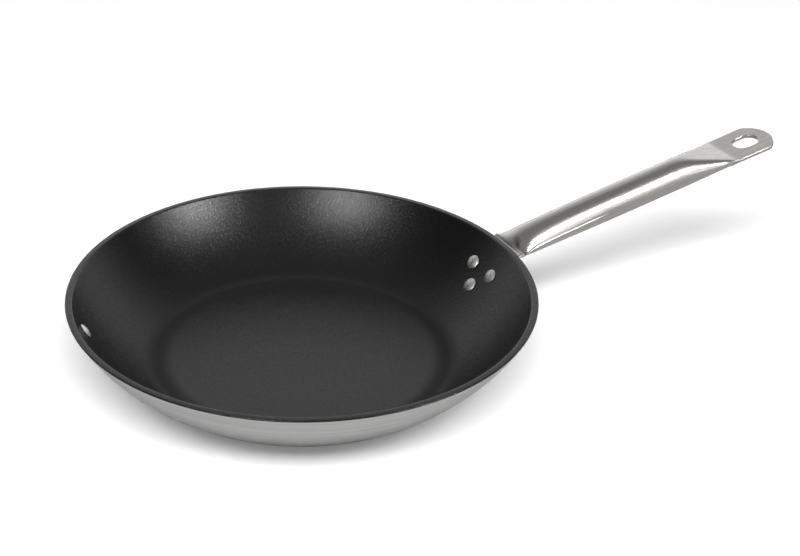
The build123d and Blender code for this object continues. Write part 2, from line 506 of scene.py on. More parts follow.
def fine_grain() -> bpy.types.NodeTree:
    """Small soft bumps with no direction, as on a sprayed or tumbled surface.

    Returns:
        The group, which puts out Height and Speck.
    """
    sharp_share = 2.7
    soft_weight = 0.75
    sharp_weight = 0.25
    speck_edge = 0.12
    group = EffectGroup(
        "fine_grain",
        {"Vector": None, "Bumps per metre": 1000.0, "Speck share": 0.3},
        ("Height", "Speck"),
    )
    nodes, given, leave = group.start()
    soft = nodes.noise(given["Vector"], given["Bumps per metre"], detail=1.0, roughness=0.4)
    sharp_scale = nodes.math("MULTIPLY", given["Bumps per metre"], sharp_share)
    sharp = nodes.noise(given["Vector"], sharp_scale, detail=0.0)
    soft_part = nodes.math("MULTIPLY", soft, soft_weight)
    sharp_part = nodes.math("MULTIPLY", sharp, sharp_weight)
    height = nodes.math("ADD", soft_part, sharp_part)
    edge = nodes.math("SUBTRACT", 1.0, given["Speck share"])
    top = nodes.math("ADD", edge, speck_edge)
    nodes.feed(leave.inputs["Height"], height)
    nodes.feed(leave.inputs["Speck"], nodes.band(height, edge, top, 0.0, 1.0))
    return nodes.tree


def handling_marks() -> bpy.types.NodeTree:
    """Broad cloudy changes of gloss, as wiping and handling leave.

    Returns:
        The group, which puts out Cloud and Smudge.
    """
    patch_share = 3.1
    clean_level = 0.85
    smudge_weight = 0.5
    smudge_edge = 0.16
    group = EffectGroup(
        "handling_marks",
        {"Vector": None, "Clouds per metre": 18.0, "Smudge share": 0.35},
        ("Cloud", "Smudge"),
    )
    nodes, given, leave = group.start()
    cloud = nodes.noise(given["Vector"], given["Clouds per metre"], detail=2.0)
    patch_scale = nodes.math("MULTIPLY", given["Clouds per metre"], patch_share)
    patch = nodes.noise(given["Vector"], patch_scale, detail=3.0, roughness=0.6)
    lowered = nodes.math("MULTIPLY", given["Smudge share"], smudge_weight)
    edge = nodes.math("SUBTRACT", clean_level, lowered)
    top = nodes.math("ADD", edge, smudge_edge)
    nodes.feed(leave.inputs["Cloud"], cloud)
    nodes.feed(leave.inputs["Smudge"], nodes.band(patch, edge, top, 0.0, 1.0))
    return nodes.tree


@dataclass
class Effects:
    """The shared effect groups, each built once."""

    brushed: bpy.types.NodeTree = field(default_factory=brushed_lines)
    grain: bpy.types.NodeTree = field(default_factory=fine_grain)
    marks: bpy.types.NodeTree = field(default_factory=handling_marks)


def place_group(nodes: Nodes, tree: bpy.types.NodeTree, **values: object) -> bpy.types.Node:
    """Places an effect group in a material.

    Args:
        nodes: Node writer of the material.
        tree: The group.
        values: Its inputs, with underscores for the spaces in their names.

    Returns:
        The group node.
    """
    node = nodes.new("ShaderNodeGroup")
    node.node_tree = tree
    for name, value in values.items():
        nodes.feed(node.inputs[name.replace("_", " ")], value)
    return node


def blank_material(name: str) -> tuple[bpy.types.Material, Nodes, bpy.types.Node]:
    """A material with only its shader and output.

    Args:
        name: Name of the material.

    Returns:
        The material, its node writer and its Principled shader.
    """
    material = bpy.data.materials.new(name)
    material.use_nodes = True
    material.node_tree.nodes.clear()
    nodes = Nodes(material.node_tree)
    shader = nodes.new("ShaderNodeBsdfPrincipled")
    shader.location = SHADER_PLACE
    out = nodes.new("ShaderNodeOutputMaterial")
    out.location = OUTPUT_PLACE
    nodes.feed(out.inputs["Surface"], shader.outputs[0])
    return material, nodes, shader


def bumped(nodes: Nodes, height: object, depth: float, strength: float) -> bpy.types.NodeSocket:
    """Normal of a surface with small heights on it.

    Args:
        nodes: Node writer of the material.
        height: Heights between 0 and 1.
        depth: Height in metres that 1 stands for.
        strength: Share of the bump that shows.

    Returns:
        The normal socket.
    """
    bump = nodes.new("ShaderNodeBump")
    nodes.feed(bump.inputs["Strength"], strength)
    nodes.feed(bump.inputs["Distance"], depth)
    nodes.feed(bump.inputs["Height"], height)
    return bump.outputs[0]


def radius_of(nodes: Nodes, place: object) -> bpy.types.NodeSocket:
    """Distance of a place from the pan's axis.

    Args:
        nodes: Node writer of the material.
        place: Place on the object, in metres.

    Returns:
        The socket with the distance.
    """
    flat = nodes.new("ShaderNodeVectorMath", operation="MULTIPLY")
    nodes.feed(flat.inputs[0], place)
    flat.inputs[1].default_value = (1.0, 1.0, 0.0)
    length = nodes.new("ShaderNodeVectorMath", operation="LENGTH")
    nodes.feed(length.inputs[0], flat.outputs["Vector"])
    return length.outputs["Value"]


@dataclass(frozen=True)
class NonStickFinish:
    """Black sprayed lining: semi-matt, with a fine orange peel and a duller crease.

    Attributes:
        dark: Colour of most of the lining.
        light: Colour of its specks and clouds.
        roughness: Least roughness.
        roughness_spread: How much the peel and the smudges change it.
        bumps_per_metre: Fineness of the peel.
        bump_depth: Depth of the peel.
        bump_strength: Share of the peel that shows.
        speck_share: Share of the surface that is speckled.
        clouds_per_metre: Fineness of the clouds.
        smudge_share: Share of the surface that is smudged.
        shade_weight: Share of the light colour at a speck, and at a cloud.
        refraction: The lacquer's index of refraction.
        crease: Distance of the floor's crease from the pan's axis.
        crease_half: How far the duller band reaches to both sides of it.
        crease_matt: Added roughness in the crease.
    """

    dark: Colour = (0.0035, 0.0035, 0.0036)
    light: Colour = (0.0070, 0.0070, 0.0072)
    roughness: float = 0.25
    roughness_spread: float = 0.06
    bumps_per_metre: float = 1250.0
    bump_depth: float = 0.00017
    bump_strength: float = 1.0
    speck_share: float = 0.42
    clouds_per_metre: float = 14.0
    smudge_share: float = 0.3
    shade_weight: float = 0.5
    refraction: float = 1.41
    crease: float = 0.0875
    crease_half: float = 0.0100
    crease_matt: float = 0.40

    def material(self, effects: Effects) -> bpy.types.Material:
        """Builds the material.

        Args:
            effects: The shared effects.

        Returns:
            The material.
        """
        made, nodes, shader = blank_material("black_non_stick")
        place = nodes.new("ShaderNodeTexCoord").outputs["Object"]
        peel = place_group(
            nodes,
            effects.grain,
            Vector=place,
            Bumps_per_metre=self.bumps_per_metre,
            Speck_share=self.speck_share,
        )
        marks = place_group(
            nodes,
            effects.marks,
            Vector=place,
            Clouds_per_metre=self.clouds_per_metre,
            Smudge_share=self.smudge_share,
        )
        speck = nodes.math("MULTIPLY", peel.outputs["Speck"], self.shade_weight)
        cloud = nodes.math("MULTIPLY", marks.outputs["Cloud"], self.shade_weight)
        shade = nodes.math("ADD", speck, cloud)
        nodes.feed(shader.inputs["Base Color"], nodes.blend(shade, (*self.dark, 1), (*self.light, 1)))
        gloss = nodes.math("MULTIPLY", marks.outputs["Smudge"], self.roughness_spread)
        spread = nodes.math("MULTIPLY", peel.outputs["Height"], self.roughness_spread)
        rough = nodes.math("SUBTRACT", nodes.math("ADD", spread, self.roughness), gloss)
        off = nodes.math("ABSOLUTE", nodes.math("SUBTRACT", radius_of(nodes, place), self.crease))
        matt = nodes.band(off, 0.0, self.crease_half, self.crease_matt, 0.0)
        nodes.feed(shader.inputs["Roughness"], nodes.math("ADD", rough, matt))
        shader.inputs["IOR"].default_value = self.refraction
        normal = bumped(nodes, peel.outputs["Height"], self.bump_depth, self.bump_strength)
        nodes.feed(shader.inputs["Normal"], normal)
        return made


@dataclass(frozen=True)
class MetalFinish:
    """A bare metal with brushed or turned lines and light handling marks.

    Attributes:
        name: Name of the material.
        colour: Colour of the clean metal.
        dull: Colour of its streaks and smudges.
        roughness: Least roughness.
        roughness_spread: How much streaks and clouds add to it.
        grain: How the lines run.
        lines_per_metre: Fineness of the lines.
        line_depth: Depth of the lines.
        line_strength: Share of their depth that shows.
        handle_tilt: Slope of the lines that run along the handle.
        streak_low: Level at which a streak begins to show.
        streak_high: Level at which it shows in full.
        turned_share: Length along a turned line for one radian.
    """

    name: str
    colour: Colour
    dull: Colour
    roughness: float
    roughness_spread: float
    grain: Grain
    lines_per_metre: float
    line_depth: float
    line_strength: float
    handle_tilt: float = 0.0
    streak_low: float = 0.35
    streak_high: float = 0.68
    turned_share: float = 0.1

    def grain_place(self, nodes: Nodes) -> bpy.types.NodeSocket:
        """Coordinates whose X runs along the fine lines.

        Args:
            nodes: Node writer of the material.

        Returns:
            The vector socket.
        """
        place = nodes.new("ShaderNodeTexCoord").outputs["Object"]
        if self.grain is Grain.ALONG_HANDLE:
            turn = nodes.new("ShaderNodeVectorRotate", rotation_type="Y_AXIS")
            nodes.feed(turn.inputs["Vector"], place)
            turn.inputs["Angle"].default_value = self.handle_tilt
            return turn.outputs[0]
        split = nodes.new("ShaderNodeSeparateXYZ")
        nodes.feed(split.inputs[0], place)
        x, y, z = split.outputs
        angle = nodes.math("ARCTAN2", y, x)
        return nodes.combine(nodes.math("MULTIPLY", angle, self.turned_share), radius_of(nodes, place), z)

    def material(self, effects: Effects) -> bpy.types.Material:
        """Builds the material.

        Args:
            effects: The shared effects.

        Returns:
            The material.
        """
        made, nodes, shader = blank_material(self.name)
        place = nodes.new("ShaderNodeTexCoord").outputs["Object"]
        lines = place_group(
            nodes, effects.brushed, Vector=self.grain_place(nodes), Lines_per_metre=self.lines_per_metre
        )
        marks = place_group(nodes, effects.marks, Vector=place)
        streak = nodes.band(lines.outputs["Streak"], self.streak_low, self.streak_high, 0.0, 1.0)
        dulled = nodes.math("MULTIPLY", nodes.math("ADD", streak, marks.outputs["Smudge"]), 0.5)
        nodes.feed(shader.inputs["Base Color"], nodes.blend(dulled, (*self.colour, 1), (*self.dull, 1)))
        shader.inputs["Metallic"].default_value = 1.0
        wear = nodes.math("ADD", streak, marks.outputs["Cloud"])
        spread = nodes.math("MULTIPLY", wear, self.roughness_spread)
        nodes.feed(shader.inputs["Roughness"], nodes.math("ADD", spread, self.roughness))
        normal = bumped(nodes, lines.outputs["Height"], self.line_depth, self.line_strength)
        nodes.feed(shader.inputs["Normal"], normal)
        return made


@dataclass(frozen=True)
class RivetFinish:
    """Pale rivet metal with the small dents of the setting tool, whose dents are painted darker as shade.

    Attributes:
        colour: Colour of the clean metal.
        dull: Colour painted into the dents as shade, and into the smudges as wear.
        roughness: Least roughness.
        roughness_spread: How much clouds add to it.
        dents_per_metre: Fineness of the dents.
        dent_depth: Depth of the dents.
        dent_strength: Share of their depth that shows.
        shaded_dent_share: Share of the surface that is dented and painted with shade.
        clouds_per_metre: Fineness of the clouds.
        smudge_share: Share of the surface that is smudged.
    """

    colour: Colour = (0.74, 0.73, 0.71)
    dull: Colour = (0.16, 0.155, 0.15)
    roughness: float = 0.34
    roughness_spread: float = 0.2
    dents_per_metre: float = 1100.0
    dent_depth: float = 0.0003
    dent_strength: float = 0.6
    shaded_dent_share: float = 0.5
    clouds_per_metre: float = 160.0
    smudge_share: float = 0.5

    def material(self, effects: Effects) -> bpy.types.Material:
        """Builds the material.

        Args:
            effects: The shared effects.

        Returns:
            The material.
        """
        made, nodes, shader = blank_material("rivet_heads")
        place = nodes.new("ShaderNodeTexCoord").outputs["Object"]
        dents = place_group(
            nodes,
            effects.grain,
            Vector=place,
            Bumps_per_metre=self.dents_per_metre,
            Speck_share=self.shaded_dent_share,
        )
        marks = place_group(
            nodes,
            effects.marks,
            Vector=place,
            Clouds_per_metre=self.clouds_per_metre,
            Smudge_share=self.smudge_share,
        )
        # Painted shade: the dull colour darkens the dents; in the smudges it is wear.
        dent_shade_and_smudge = nodes.math("ADD", dents.outputs["Speck"], marks.outputs["Smudge"])
        shade = nodes.math("MULTIPLY", dent_shade_and_smudge, 0.5)
        nodes.feed(shader.inputs["Base Color"], nodes.blend(shade, (*self.colour, 1), (*self.dull, 1)))
        shader.inputs["Metallic"].default_value = 1.0
        spread = nodes.math("MULTIPLY", marks.outputs["Cloud"], self.roughness_spread)
        nodes.feed(shader.inputs["Roughness"], nodes.math("ADD", spread, self.roughness))
        normal = bumped(nodes, dents.outputs["Height"], self.dent_depth, self.dent_strength)
        nodes.feed(shader.inputs["Normal"], normal)
        return made


@dataclass
class PanShell:
    """The pressed pan and its lining: flat base, bowed wall and flat rim.

    Attributes:
        rim_radius: Outer radius at the rim.
        height: Height of the rim.
        base_radius: Outer radius at which the wall's arc would meet the ground.
        wall_bow: How far the wall bows out from its chord.
        sheet: Thickness of the pressed sheet.
        lining: Thickness of the lining.
        floor_blend: Radius of the lining's corner between floor and wall.
        inner_lip: Radius of the lining's inner edge at the rim.
        outer_lip: Radius of its outer edge there.
        turns: Steps round the pan.
        wall_steps: Steps up the wall.
        blend_steps: Steps round a floor corner.
        lip_steps: Steps round an edge of the rim.
        floor_rings: Radii of the rings of points on the floor.
    """

    rim_radius: float = 0.140
    height: float = 0.049
    base_radius: float = 0.092
    wall_bow: float = 0.00475
    sheet: float = 0.0035
    lining: float = 0.0003
    floor_blend: float = 0.006
    inner_lip: float = 0.0012
    outer_lip: float = 0.0006
    turns: int = 320
    wall_steps: int = 36
    blend_steps: int = 12
    lip_steps: int = 6
    floor_rings: tuple[float, ...] = (0.006, 0.018, 0.036, 0.056, 0.074)

    def __post_init__(self) -> None:
        """Works out the wall's arc from its chord and bow."""
        run = self.rim_radius - self.base_radius
        chord = hypot(run, self.height)
        self.wall_arc = (chord**2 / 4 + self.wall_bow**2) / (2 * self.wall_bow)
        offset = self.wall_arc - self.wall_bow
        self.arc_x = (self.rim_radius + self.base_radius) / 2 - offset * self.height / chord
        self.arc_z = self.height / 2 + offset * run / chord
        self.wall = self.sheet + self.lining
        self.metal_top = self.height - self.lining

    def wall_radius(self, depth: float, height: float) -> float:
        """Radius of the wall face at a depth inside the outer one, at a height."""
        return self.arc_x + sqrt((self.wall_arc - depth) ** 2 - (height - self.arc_z) ** 2)

    def wall_run(self, depth: float, low: float, high: float) -> list[Pair]:
        """Points of the wall face, both ends included.

        Args:
            depth: Depth inside the outer face.
            low: Height of the first point.
            high: Height of the last point.

        Returns:
            The points, from low to high.
        """
        radius = self.wall_arc - depth
        start = asin((low - self.arc_z) / radius)
        end = asin((high - self.arc_z) / radius)
        return arc_points((self.arc_x, self.arc_z), radius, start, end, self.wall_steps)

    def blend(self, depth: float, level: float, radius: float) -> list[Pair]:
        """Rounded corner from a level face up to the wall face at a depth.

        Args:
            depth: Depth of the wall face inside the outer one.
            level: Height of the level face.
            radius: Radius of the corner.

        Returns:
            Points from the level face to the wall face.
        """
        lift = level + radius - self.arc_z
        centre = (self.arc_x + sqrt((self.wall_arc - depth - radius) ** 2 - lift**2), level + radius)
        end = atan2(lift, centre[0] - self.arc_x)
        return arc_points(centre, radius, -pi / 2, end, self.blend_steps)

    def outer_edge(self, radius: float) -> list[Pair]:
        """Rounded outer edge of the rim, from the wall face up to the top.

        Args:
            radius: Radius of the edge, measured from the centre of the lining's own edge.

        Returns:
            Points from the wall to the top.
        """
        level = self.height - self.outer_lip
        lift = level - self.arc_z
        centre = (self.arc_x + sqrt((self.wall_arc - self.outer_lip) ** 2 - lift**2), level)
        return arc_points(centre, radius, atan2(lift, centre[0] - self.arc_x), pi / 2, self.lip_steps)

    def inner_edge(self, depth: float, top: float, radius: float) -> list[Pair]:
        """Rounded inner edge of the rim.

        Args:
            depth: Depth of the wall face inside the outer one.
            top: Height of the rim's top.
            radius: Radius of the edge.

        Returns:
            Points from the top down to the wall face.
        """
        level = top - radius
        lift = level - self.arc_z
        centre = (self.arc_x + sqrt((self.wall_arc - depth + radius) ** 2 - lift**2), level)
        end = atan2(-lift, self.arc_x - centre[0])
        return arc_points(centre, radius, pi / 2, end, self.lip_steps)

    def metal_inside(self) -> list[Pair]:
        """Inside of the metal, which the lining covers.

        Returns:
            Points from the rim down the wall and along the floor to the axis.
        """
        lip = self.inner_edge(self.sheet, self.metal_top, self.inner_lip - self.lining)
        crease = self.blend(self.sheet, self.sheet, self.floor_blend + self.lining)
        wall = self.wall_run(self.sheet, crease[-1][1], lip[-1][1])
        floor = [(r, self.sheet) for r in reversed(self.floor_rings)]
        return [*lip, *wall[-2:0:-1], *reversed(crease), *floor, (0.0, self.sheet)]

    def body_profile(self) -> list[Pair]:
        """Half section of the pressed sheet.

        Returns:
            Points from the underside's centre round the rim to the floor's centre.
        """
        corner = self.blend(0.0, 0.0, self.floor_blend + self.wall)
        lip = self.outer_edge(self.outer_lip)
        step = self.outer_edge(self.outer_lip - self.lining)
        wall = self.wall_run(0.0, corner[-1][1], lip[0][1])
        base = [(r, 0.0) for r in self.floor_rings]
        return [(0.0, 0.0), *base, *corner, *wall[1:], *step, *self.metal_inside()]

    def lining_profile(self) -> list[Pair]:
        """Half section of the lining.

        Returns:
            Points from the centre of its metal side round the rim to the centre of its top side.
        """
        under = self.metal_inside()[::-1]
        step = self.outer_edge(self.outer_lip - self.lining)
        edge = self.outer_edge(self.outer_lip)
        lip = self.inner_edge(self.wall, self.height, self.inner_lip)
        crease = self.blend(self.wall, self.wall, self.floor_blend)
        wall = self.wall_run(self.wall, crease[-1][1], lip[-1][1])
        floor = [(r, self.wall) for r in reversed(self.floor_rings)]
        top = [*lip, *wall[-2:0:-1], *reversed(crease), *floor, (0.0, self.wall)]
        return [*under, *reversed(step), *edge, *top]

    def wall_place(self, azimuth: float, depth: float) -> Matrix:
        """Place on the outer wall face, square to it.

        Args:
            azimuth: Angle round the pan from the handle, in radians.
            depth: Depth below the rim, measured on the inside.

        Returns:
            A matrix whose Z points out of the wall and whose X runs along the rim.
        """
        height = self.height - depth
        inside = Vector((self.wall_radius(self.wall, height), 0, height))
        centre = Vector((self.arc_x, 0, self.arc_z))
        outward = (inside - centre).normalized()
        foot = centre + outward * self.wall_arc
        across = Vector((0, 1, 0))
        axes = Matrix((across, outward.cross(across), outward)).transposed().to_4x4()
        return Matrix.Rotation(azimuth, 4, "Z") @ Matrix.Translation(foot) @ axes

    def build(self, metal: bpy.types.Material, black: bpy.types.Material) -> None:
        """Makes the pressed sheet and its lining.

        Args:
            metal: Finish of the sheet.
            black: Finish of the lining.
        """
        body = Skin()
        body.lathe(self.body_profile(), self.turns)
        stand_in(body.piece("pan_body_pressed", metal), "pan_body", Slot.PAN_METAL)
        coat = Skin()
        coat.lathe(self.lining_profile(), self.turns)
        stand_in(coat.piece("nonstick_coat", black), "nonstick_lining", Slot.LINING)


@dataclass
class RivetSet:
    """Round-headed rivets through the wall, each with a slightly uneven set head.

    Attributes:
        shell: The pan that they go through.
        plate: Thickness of the handle's plate.
        upper_depth: Depth of the two upper rivets below the rim.
        lower_depth: Depth of the lower rivet.
        upper_pitch: Distance between the two upper rivets.
        far_depth: Depth of the rivet across from the handle.
        far_azimuth: Its angle round the pan from the handle.
        shank_radius: Radius of the shanks.
        inner_radius: Radius of the heads inside the pan.
        inner_rise: Height of those heads.
        outer_radius: Radius of the heads outside.
        outer_rise: Height of those heads.
        edge: Height of a head's upright edge.
        edge_round: Rounding of that edge at its foot.
        sink: How far a head is pressed into what it holds.
        dent: Depth of the uneven places on the inner heads.
        dents_per_metre: Fineness of those places.
        turns: Steps round a rivet.
        dome_steps: Steps over a dome.
    """

    shell: PanShell
    plate: float = 0.0024
    upper_depth: float = 0.0159
    lower_depth: float = 0.0253
    upper_pitch: float = 0.0207
    far_depth: float = 0.0101
    far_azimuth: float = radians(170.1)
    shank_radius: float = 0.003
    inner_radius: float = 0.0045
    inner_rise: float = 0.0016
    outer_radius: float = 0.00475
    outer_rise: float = 0.0022
    edge: float = 0.0005
    edge_round: float = 0.00028
    sink: float = 0.00012
    dent: float = 0.00006
    dents_per_metre: float = 420.0
    turns: int = 64
    dome_steps: int = 16

    def head(self, radius: float, rise: float, foot: float, outward: float) -> list[Pair]:
        """Half section of one domed head, from its foot to its top.

        Args:
            radius: Radius of the head.
            rise: Height of the dome above its seat.
            foot: Height of the seat on the rivet's axis.
            outward: 1 for the outer head and -1 for the inner one.

        Returns:
            Radius and height of each point.
        """
        crown = rise - self.edge
        dome = (radius**2 + crown**2) / (2 * crown)
        spread = asin(radius / dome)
        line = [(radius - self.edge_round, -self.sink), (radius, self.edge_round)]
        for i in range(self.dome_steps + 1):
            turn = spread * (1 - i / self.dome_steps)
            line.append((dome * sin(turn), rise - dome * (1 - cos(turn))))
        return [(r, foot + outward * h) for r, h in line]

    def profile(self, held: float) -> list[Pair]:
        """Half section of a rivet.

        Args:
            held: Thickness of what it holds outside the wall.

        Returns:
            Points from its outer top to its inner top.
        """
        outer = self.head(self.outer_radius, self.outer_rise, held, 1.0)[::-1]
        inner = self.head(self.inner_radius, self.inner_rise, -self.shell.wall, -1.0)
        outer[0] = (0.0, outer[0][1])
        inner[-1] = (0.0, inner[-1][1])
        neck = [(self.shank_radius, held), (self.shank_radius, -self.shell.wall)]
        return [*outer, *neck, *inner]

    def places(self) -> dict[str, tuple[Matrix, float]]:
        """Where each rivet stands.

        Returns:
            Its place and the thickness that it holds outside the wall, by its CAD node.
        """
        radius = self.shell.wall_radius(self.shell.wall, self.shell.height - self.upper_depth)
        side = asin(self.upper_pitch / 2 / radius)
        return {
            "handle_rivet_left": (self.shell.wall_place(side, self.upper_depth), self.plate),
            "handle_rivet_right": (self.shell.wall_place(-side, self.upper_depth), self.plate),
            "handle_rivet_lower": (self.shell.wall_place(0.0, self.lower_depth), self.plate),
            "far_wall_rivet": (self.shell.wall_place(self.far_azimuth, self.far_depth), 0.0),
        }

    def build(self, metal: bpy.types.Material) -> None:
        """Makes the four rivets.

        Args:
            metal: Their finish.
        """
        for node, (place, held) in self.places().items():
            skin = Skin()
            skin.lathe(self.profile(held), self.turns, place)
            centre = place @ Vector((0, 0, -self.shell.wall / 2))
            for point in skin.points:
                reach = (place.inverted() @ point).xy.length / self.inner_radius
                dent = noise.noise(point * self.dents_per_metre) * self.dent * (1 - smooth_step(reach))
                point -= (point - centre).normalized() * abs(dent)
            stand_in(skin.piece(f"{node}_set", metal), node, Slot.RIVET_METAL)


@dataclass
class TubeHandle:
    """One steel tube: pressed and bent onto the wall, round in the middle, flat at the tab.

    Attributes:
        shell: The pan that it is fixed to.
        slope: Rise of the handle.
        axis_drop: Depth of the handle's axis below the rim, where it crosses the rim.
        tube_radius: Outer radius of the tube.
        tube_wall: Its wall.
        bend_radius: Radius of the bend, at mid thickness of the pressed tube.
        plate_tail: Length of the plate below the lower rivet.
        plate_corner: Radius of the plate's corners.
        tail_depth: Depth of the lower rivet below the rim.
        pan_end: Length over which the pressed tube grows round.
        fold_edge: Half height of the fold's edge.
        tab_reach: Distance of the tab's foot from the pan's axis.
        ramp: Length of the ramp down to the tab.
        facet_start: Half width of the ramp's facet where it begins.
        tab_length: Length of the tab.
        tab_side: Length of its straight sides.
        tab_half: Half width at its foot.
        tab_tip_half: Half width at the end of its sides.
        tab_corner: Radius between a side and the tip.
        slot_length: Length of the hanging slot.
        slot_width: Width of the slot.
        slot_offset: Distance of its middle from the tab's foot.
        cut_round: Rounding of cut edges.
        cut_run: Width of the even border inside a cut edge, in roundings.
        seam_half: Half height of the seam in cut edges.
        seam_depth: Depth of that seam.
        girth_power: How the width follows the height where the tube's girth is kept.
        height_line: Half height along the pan end, as shares.
        drop_line: How far the widest place sinks along it, as shares of the tube's radius.
        edge_line: How the fold's edge thins along it.
        ramp_line: Half height along the ramp, as shares.
        open_share: Share of the pan end that stays a flat plate.
        bow_share: Share of it that still follows the wall's bow.
        steepest: Largest sine at which the fold's side starts.
        groove_depth: Depth of the fine line along the fold.
        groove_half: Half width of that line.
        groove_share: Share of the pan end where it begins to fade.
        groove_end: Share where it is gone.
        cut_share: Share of the ramp where its round side begins to turn into a cut edge.
        edge_lengths: Places of the points near a section's side, along its outline.
        face_shares: Places of the loops between the tab's edge and the slot.
        pan_end_power: How the rings of the pan end crowd towards the bend.
        quarter_steps: Steps round a quarter of a section.
        oval_steps: Steps in which the pan end's rounded side is drawn before it is spaced.
        side_round_steps: The same for the other round sides.
        cut_steps: Steps round a cut edge's rounding.
        tail_steps: Steps along the plate's rounded tail.
        plate_steps: Steps along the rest of the plate.
        bend_steps: Steps round the bend.
        pan_end_steps: Steps along the pan end.
        tube_steps: Steps along the round tube.
        ramp_steps: Steps along the ramp.
        side_steps: Steps along a side of the tab.
        corner_steps: Steps round a corner of the tab.
        tip_steps: Steps along half of the tab's tip.
    """

    shell: PanShell
    slope: float = radians(11.95)
    axis_drop: float = 0.00465
    tube_radius: float = 0.0104
    tube_wall: float = 0.0012
    bend_radius: float = 0.011
    plate_tail: float = 0.0085
    plate_corner: float = 0.013
    tail_depth: float = 0.0253
    pan_end: float = 0.084
    fold_edge: float = 0.00015
    tab_reach: float = 0.3042
    ramp: float = 0.042
    facet_start: float = 0.0001
    tab_length: float = 0.0358
    tab_side: float = 0.026
    tab_half: float = 0.0156
    tab_tip_half: float = 0.016
    tab_corner: float = 0.003
    slot_length: float = 0.0178
    slot_width: float = 0.0134
    slot_offset: float = 0.0183
    cut_round: float = 0.00035
    cut_run: float = 2.2
    seam_half: float = 0.0001
    seam_depth: float = 0.00035
    girth_power: float = 2.5
    height_line: Curve = Curve(
        (
            (0.0, 0.115), (0.048, 0.500), (0.095, 0.710), (0.155, 0.845), (0.226, 0.905),
            (0.333, 0.942), (0.476, 0.971), (0.643, 0.990), (0.810, 1.0), (1.0, 1.0),
        )
    )
    drop_line: Curve = Curve(
        (
            (0.0, 0.0), (0.048, 0.155), (0.095, 0.230), (0.155, 0.264), (0.226, 0.269),
            (0.333, 0.250), (0.476, 0.183), (0.643, 0.077), (0.810, 0.0), (1.0, 0.0),
        )
    )
    edge_line: Curve = Curve(((0.0, 1.0), (0.048, 0.26), (0.095, 0.03), (0.155, 0.0), (1.0, 0.0)))
    ramp_line: Curve = Curve(
        (
            (-0.1, 1.0), (0.0, 1.0), (0.1, 0.985), (0.2, 0.945), (0.3, 0.870), (0.4, 0.762), (0.5, 0.654),
            (0.625, 0.519), (0.75, 0.385), (0.875, 0.250), (1.0, 0.1154),
        )
    )
    open_share: float = 0.02
    bow_share: float = 0.06
    steepest: float = 0.999
    groove_depth: float = 0.00020
    groove_half: float = 0.00025
    groove_share: float = 0.60
    groove_end: float = 0.95
    cut_share: float = 0.80
    edge_lengths: tuple[float, ...] = (0.0, 0.00012, 0.00025, 0.00085, 0.00103, 0.00121, 0.0014, 0.00185)
    face_shares: tuple[float, ...] = (0.3, 0.6, 0.85)
    pan_end_power: float = 1.5
    quarter_steps: int = 32
    oval_steps: int = 90
    side_round_steps: int = 60
    cut_steps: int = 3
    tail_steps: int = 22
    plate_steps: int = 10
    bend_steps: int = 14
    pan_end_steps: int = 72
    tube_steps: int = 14
    ramp_steps: int = 56
    side_steps: int = 12
    corner_steps: int = 6
    tip_steps: int = 20

    def __post_init__(self) -> None:
        """Works out the line of the handle from its sizes and the pan's wall."""
        shell = self.shell
        self.across = Vector((0, 1, 0))
        self.along = Vector((cos(self.slope), 0, sin(self.slope)))
        self.upward = Vector((-sin(self.slope), 0, cos(self.slope)))
        self.arc_centre = Vector((shell.arc_x, 0, shell.arc_z))
        self.plate_arc = shell.wall_arc + self.tube_wall
        foot = Vector((shell.rim_radius, 0, shell.height - self.axis_drop))
        start = foot - self.upward * self.bend_radius - self.arc_centre
        run = -start.dot(self.along) + sqrt(
            start.dot(self.along) ** 2 - start.dot(start) + (self.plate_arc + self.bend_radius) ** 2
        )
        self.bend_centre = self.arc_centre + start + self.along * run
        self.bend_start = self.bend_centre + self.upward * self.bend_radius
        self.tab_foot = foot + self.along * ((self.tab_reach - shell.rim_radius) / self.along.x)
        self.ramp_foot = self.tab_foot - self.along * self.ramp
        self.flat_half = (pi * (self.tube_radius - self.tube_wall / 2) + self.tube_wall) / 2
        normal = (self.bend_centre - self.arc_centre).normalized()
        self.seam_angle = atan2(normal.z, normal.x)
        self.bow_radius = self.plate_arc + shell.arc_x / cos(self.seam_angle)
        self.edge_depths = self.cut_depths()

    def half_width(self, rise: float) -> float:
        """Half width at which the pressed tube keeps its girth, for a half height."""
        pressed = (rise / self.tube_radius) ** self.girth_power
        return self.flat_half - (self.flat_half - self.tube_radius) * pressed

    def cut_depths(self) -> list[Pair]:
        """Inset and height of the points down a cut edge, from its seam to the top face.

        Returns:
            Pairs from the bottom of the seam at mid thickness to just inside the top edge.
        """
        rise = self.tube_wall
        centre = (self.cut_round, rise - self.cut_round)
        corner = arc_points(centre, self.cut_round, pi, pi / 2, self.cut_steps)
        return [
            (self.seam_depth, 0.0),
            (self.seam_depth, self.seam_half),
            (0.0, self.seam_half),
            *corner,
            (self.cut_round * self.cut_run, rise),
        ]

    def shares(self) -> list[float]:
        """Where every section has its points.

        Returns:
            Shares of a quarter of the girth, rising from 0 to 1.
        """
        whole = self.tab_half + self.tube_wall
        first = [length / whole for length in self.edge_lengths]
        rest = self.quarter_steps - len(first) + 1
        return first + [mix(first[-1], 1.0, (i + 1) / rest) for i in range(rest)]

